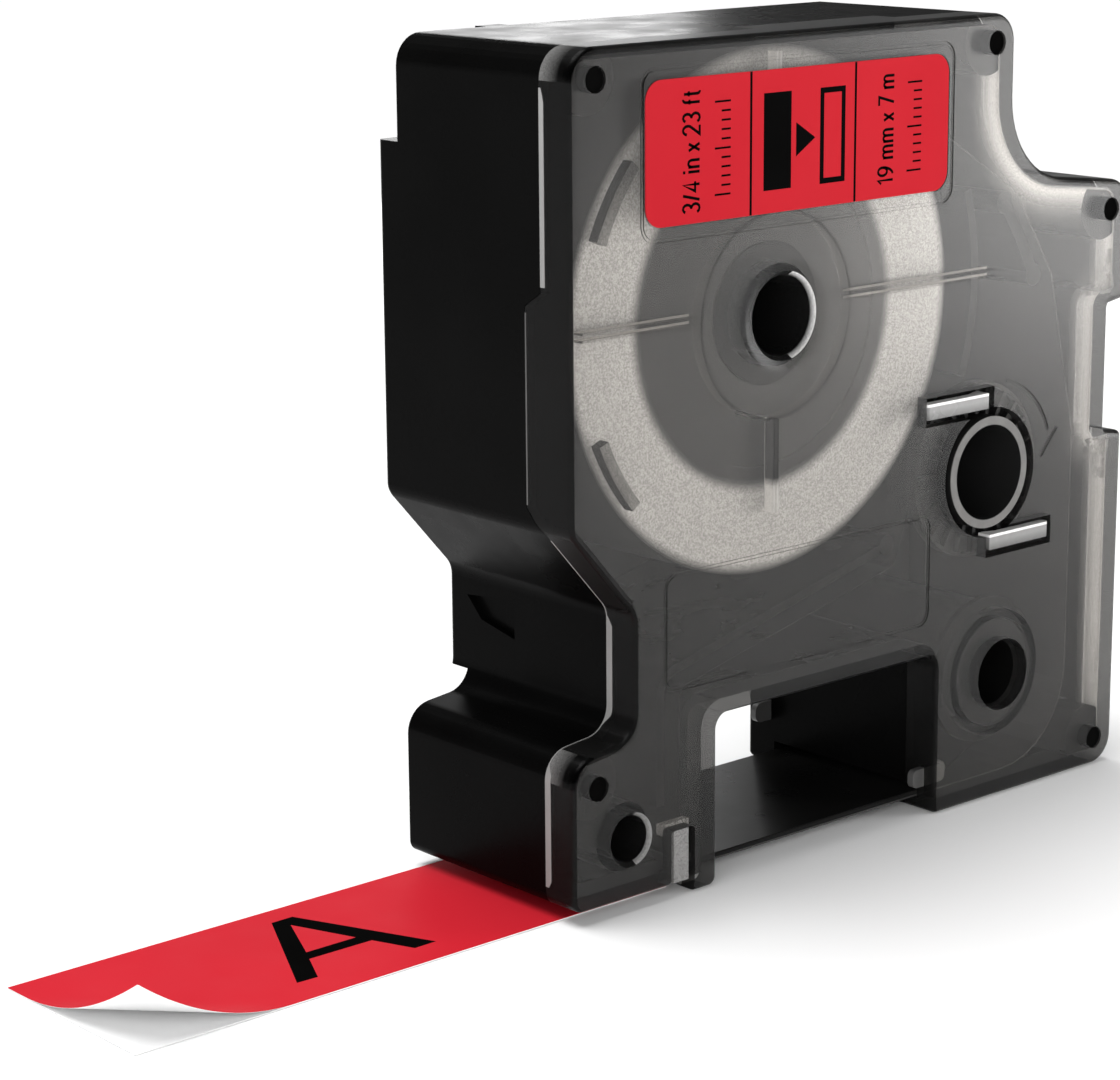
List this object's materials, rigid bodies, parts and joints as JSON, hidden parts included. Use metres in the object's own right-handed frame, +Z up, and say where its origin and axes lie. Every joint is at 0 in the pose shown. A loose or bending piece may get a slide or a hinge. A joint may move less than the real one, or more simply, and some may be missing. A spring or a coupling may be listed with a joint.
{
  "type": "label tape cassette",
  "caption": "Label tape cassette with a smoky cover, tape roll, thermal ribbon spools, print window and a printed tape tail.",
  "frame": {"origin": "centre of the footprint on the floor, with the tape tail included", "axes": "+Z up from the floor the cassette stands on; the front cover faces -Y; the tape leaves towards -X"},
  "size_m": [0.1172, 0.026, 0.0764],
  "materials": {
    "case_black": "glossy moulded black with soft mould grain",
    "cover_smoke": "smoky translucent, fine grain",
    "pawl_smoke": "smoky translucent, fine grain",
    "label_red": "printed gloss film",
    "core_grey": "satin moulded",
    "tape_edge": "edge of wound tape",
    "clear_film": "clear film",
    "liner_white": "smooth coated paper",
    "clear_plastic": "clear moulded",
    "spool_grey": "satin moulded",
    "ribbon_black": "glossy ink film",
    "guide_pale": "pale translucent moulded",
    "spring_steel": "bright strip"
  },
  "bodies": {
    "case": {"rear_case": "case_black", "front_cover": "cover_smoke", "size_label": "label_red", "tape_web": "liner_white", "exit_tongue": "clear_plastic", "ribbon_web": "ribbon_black", "ribbon_guide": "guide_pale", "supply_drag_spring": "spring_steel"},
    "roll": {"tape_core": "core_grey", "tape_roll": "tape_edge", "front_slip_disc": "clear_film", "rear_slip_disc": "clear_film"},
    "tape": {"tail_film": "label_red", "tail_liner": "liner_white"},
    "supply": {"supply_spool": "spool_grey", "supply_ribbon": "ribbon_black"},
    "takeup": {"takeup_spool": "spool_grey", "takeup_ribbon": "ribbon_black"},
    "pawl_upper": {"upper_pawl": "pawl_smoke"},
    "pawl_lower": {"lower_pawl": "pawl_smoke"}
  },
  "joints": [
    {"name": "roll_spin", "type": "hinge", "parent": "case", "child": "roll", "pos_m": [0.011, -0.00075, 0.0513], "axis": [0, 1, 0], "range_deg": [0, 28]},
    {"name": "tape_feed", "type": "slide", "parent": "case", "child": "tape", "axis": [-1, 0, 0], "range_m": [0, 0.012]},
    {"name": "takeup_spin", "type": "hinge", "parent": "case", "child": "takeup", "pos_m": [0.0388, -0.00005, 0.0329], "axis": [0, 1, 0], "continuous": true},
    {"name": "supply_spin", "type": "hinge", "parent": "case", "child": "supply", "pos_m": [0.0414, -0.00005, 0.0123], "axis": [0, 1, 0], "continuous": true},
    {"name": "upper_pawl_flex", "type": "hinge", "parent": "case", "child": "pawl_upper", "pos_m": [0.03025, -0.01238, 0.0399], "axis": [0, 0, -1], "range_deg": [0, 6], "stiffness_Nm_per_rad": 0.002},
    {"name": "lower_pawl_flex", "type": "hinge", "parent": "case", "child": "pawl_lower", "pos_m": [0.04736, -0.01238, 0.0259], "axis": [0, 0, 1], "range_deg": [0, 6], "stiffness_Nm_per_rad": 0.002}
  ],
  "couplings": [
    {"joint": "tape_feed", "follows": "roll_spin", "m_per_rad": 0.0238},
    {"joint": "supply_spin", "follows": "takeup_spin", "ratio": 0.9394}
  ]
}
